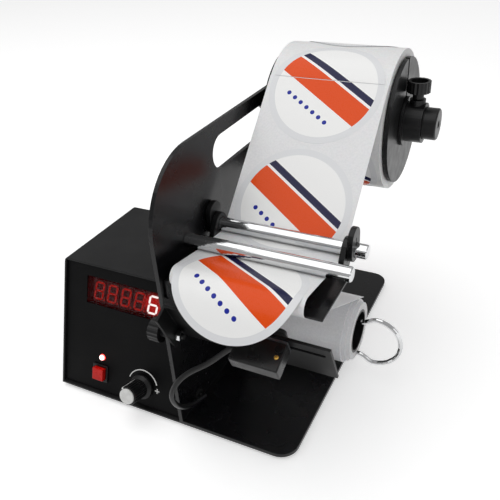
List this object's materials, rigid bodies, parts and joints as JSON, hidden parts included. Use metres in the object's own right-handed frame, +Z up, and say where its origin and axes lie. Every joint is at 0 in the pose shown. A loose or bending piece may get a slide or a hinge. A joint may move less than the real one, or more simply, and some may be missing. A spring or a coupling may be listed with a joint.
{
  "type": "label dispenser machine",
  "caption": "Desktop machine that peels round labels off a carrier web: side plate with reel, rods and peel edge, control box, sensor arm and driven rewind.",
  "frame": {"origin": "centre of the machine's footprint, cable apart, on the surface that it stands on", "axes": "+X to the right, from the control box towards the open ends of the rods; +Y to the back, away from the peel edge; +Z up"},
  "size_m": [0.2598, 0.2807, 0.245],
  "materials": {
    "black_steel": "satin powder coat",
    "black_cover": "satin powder coat",
    "black_panel": "matt",
    "black_plastic": "satin",
    "black_rubber": "matt",
    "chromed_steel": "polished",
    "zinc_steel": "plated",
    "grey_steel": "satin",
    "liner_paper": "glazed paper",
    "label_film": "gloss film",
    "brown_card": "matt card",
    "red_window": "dark red tint",
    "red_plastic": "gloss",
    "white_plastic": "gloss",
    "green_board": "board lacquer"
  },
  "bodies": {
    "root": {"box_cover": "black_cover", "box_floor": "black_cover", "button_bezel": "black_plastic", "cable_grommet": "black_rubber", "carrier_return": "liner_paper", "carrier_web": "liner_paper", "chassis": "black_steel", "control_board": "green_board", "cover_screw_1": "grey_steel", "cover_screw_2": "grey_steel", "digit_display": "red_window", "display_window": "red_window", "drive_motor": "zinc_steel", "foot_1": "black_rubber", "foot_2": "black_rubber", "foot_3": "black_rubber", "foot_4": "black_rubber", "front_panel": "black_panel", "front_rod": "chromed_steel", "gearbox": "grey_steel", "mains_inlet": "black_plastic", "peel_plate": "black_steel", "peel_screw_1": "grey_steel", "peel_screw_2": "grey_steel", "peeled_label": "label_film", "potentiometer": "grey_steel", "rear_panel": "black_cover", "rear_rod": "chromed_steel", "reel_bearing": "zinc_steel", "rewind_bush": "zinc_steel", "rocker_frame": "black_plastic", "sensor_cable_a": "black_rubber", "status_led": "red_plastic"},
    "supply": {"supply_shaft": "black_plastic", "inner_flange": "black_plastic", "roll_core": "brown_card", "label_roll": "label_film"},
    "flange": {"outer_flange": "black_plastic", "flange_collar": "black_plastic"},
    "collar_thumb": {"collar_screw": "black_plastic"},
    "rewind": {"rewind_drum": "black_plastic", "backing_roll": "liner_paper"},
    "clip": {"backing_clip": "chromed_steel"},
    "arm": {"sensor_arm": "black_steel", "arm_nut": "chromed_steel"},
    "arm_thumb": {"arm_knob": "black_plastic"},
    "sensor": {"photo_sensor": "black_plastic", "sensor_bracket": "grey_steel", "sensor_screw_1": "zinc_steel", "sensor_screw_2": "zinc_steel", "sensor_clamp_nut": "black_plastic", "sensor_cable_b": "black_rubber"},
    "button": {"button_cap": "red_plastic"},
    "knob": {"speed_knob": "black_plastic", "knob_cap": "white_plastic"},
    "rocker": {"power_rocker": "black_plastic"},
    "guide_rl": {"guide_right_lower": "black_plastic"},
    "guide_ru": {"guide_right_upper": "black_plastic"},
    "guide_ll": {"guide_left_lower": "black_plastic"},
    "guide_lu": {"guide_left_upper": "black_plastic"}
  },
  "joints": [
    {"name": "rewind_spin", "type": "hinge", "parent": "root", "child": "rewind", "pos_m": [0.04695, -0.00295, 0.044], "axis": [1, 0, 0], "continuous": true},
    {"name": "supply_spin", "type": "hinge", "parent": "root", "child": "supply", "pos_m": [0.04695, 0.08235, 0.191], "axis": [1, 0, 0], "continuous": true},
    {"name": "flange_slide", "type": "slide", "parent": "supply", "child": "flange", "axis": [1, 0, 0], "range_m": [0, 0.008]},
    {"name": "collar_turn", "type": "hinge", "parent": "flange", "child": "collar_thumb", "pos_m": [0.1057, 0.08235, 0.191], "axis": [0, 0, 1], "range_deg": [0, 360]},
    {"name": "clip_slide", "type": "slide", "parent": "rewind", "child": "clip", "axis": [1, 0, 0], "range_m": [0, 0.075]},
    {"name": "arm_tilt", "type": "hinge", "parent": "root", "child": "arm", "pos_m": [-0.00755, -0.10965, 0.0885], "axis": [1, 0, 0], "range_deg": [-25, 30], "deforming": ["sensor_cable_a"]},
    {"name": "arm_thumb_turn", "type": "hinge", "parent": "root", "child": "arm_thumb", "pos_m": [-0.02105, -0.10965, 0.0885], "axis": [1, 0, 0], "range_deg": [-360, 0]},
    {"name": "sensor_slide", "type": "slide", "parent": "arm", "child": "sensor", "axis": [1, 0, 0], "range_m": [-0.022, 0.026], "deforming": ["sensor_cable_b"]},
    {"name": "button_press", "type": "slide", "parent": "root", "child": "button", "axis": [0, 0.9507, -0.3102], "range_m": [0, 0.0025], "stiffness_N_per_m": 250, "springref_m": -0.001},
    {"name": "speed_turn", "type": "hinge", "parent": "root", "child": "knob", "pos_m": [-0.04895, -0.10558, 0.02068], "axis": [0, -0.9507, 0.3102], "range_deg": [-193, 107]},
    {"name": "rocker_tip", "type": "hinge", "parent": "root", "child": "rocker", "pos_m": [-0.05105, 0.01155, 0.08], "axis": [0, 0, 1], "range_deg": [-16, 0]},
    {"name": "guide_right_slide", "type": "slide", "parent": "root", "child": "guide_rl", "axis": [1, 0, 0], "range_m": [0, 0.008]},
    {"name": "guide_right_swing", "type": "hinge", "parent": "guide_rl", "child": "guide_ru", "pos_m": [0.09875, -0.04675, 0.1465], "axis": [1, 0, 0], "range_deg": [-120, 120]},
    {"name": "guide_left_lower_swing", "type": "hinge", "parent": "root", "child": "guide_ll", "pos_m": [-0.00185, -0.04675, 0.1465], "axis": [1, 0, 0], "range_deg": [-90, 90]},
    {"name": "guide_left_upper_swing", "type": "hinge", "parent": "root", "child": "guide_lu", "pos_m": [-0.00595, -0.04675, 0.1465], "axis": [1, 0, 0], "range_deg": [-120, 120]}
  ],
  "couplings": [
    {"joint": "supply_spin", "follows": "rewind_spin", "ratio": -0.5056}
  ]
}
